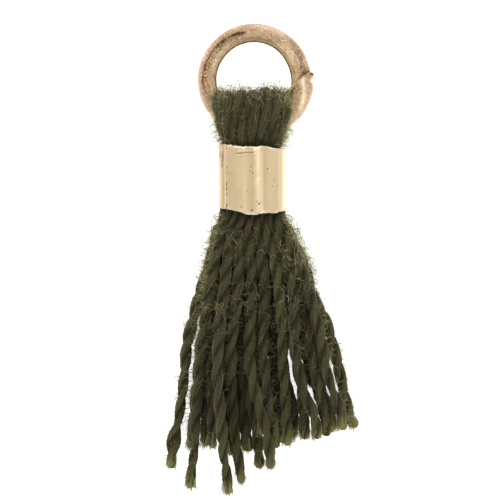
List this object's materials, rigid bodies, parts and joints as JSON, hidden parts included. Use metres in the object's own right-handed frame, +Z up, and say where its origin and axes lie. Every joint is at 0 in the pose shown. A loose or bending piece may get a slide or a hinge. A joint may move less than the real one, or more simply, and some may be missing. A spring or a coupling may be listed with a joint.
{
  "type": "tassel charm on a jump ring",
  "caption": "Small yarn tassel folded over a brass jump ring and held by a crimped brass band, lying on its back.",
  "frame": {"origin": "centre of the footprint, on the surface that the charm lies on", "axes": "+Y from the cut strands to the ring, +Z up out of the front, +X to the right seen from the front"},
  "size_m": [0.0139, 0.0343, 0.0039],
  "materials": {
    "old_brass": "polished, lightly tarnished",
    "brass": "bright, with soft creases",
    "yarn": "fuzzy two-ply yarn, dark olive"
  },
  "bodies": {
    "root": {"ring": "old_brass", "band": "brass", "yarn": "yarn"}
  },
  "joints": []
}
